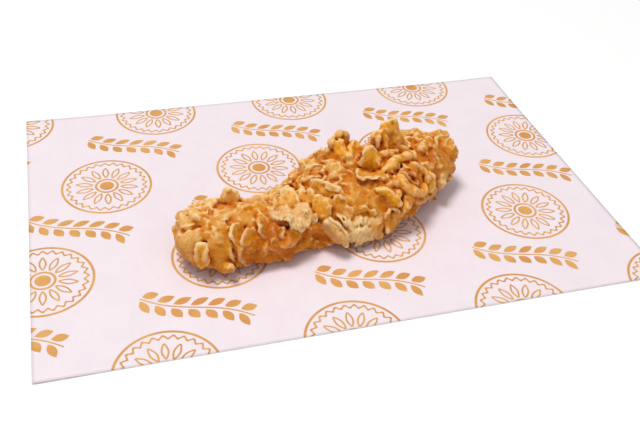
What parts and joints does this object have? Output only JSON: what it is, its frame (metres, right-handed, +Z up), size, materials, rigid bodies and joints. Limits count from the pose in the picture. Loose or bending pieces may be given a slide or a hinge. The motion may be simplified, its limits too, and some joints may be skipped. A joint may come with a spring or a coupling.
{
  "type": "breaded chicken tender",
  "caption": "Crisp fried chicken tender with a flaky golden crust, lying on a flat rectangular sheet of printed wrapping paper.",
  "frame": {"origin": "middle of the paper sheet's underside, on the surface the part lies on", "axes": "+X along the sheet's long side, +Y along its short side and away from the tender's near flank, +Z up"},
  "size_m": [0.26, 0.174, 0.0444],
  "materials": {
    "crust": "fried flour crust, golden brown with pale rims and a slight oily gloss",
    "paper": "smooth pinkish white food paper with a golden orange line print"
  },
  "bodies": {
    "root": {"tender": "crust", "paper_sheet": "paper"}
  },
  "joints": []
}
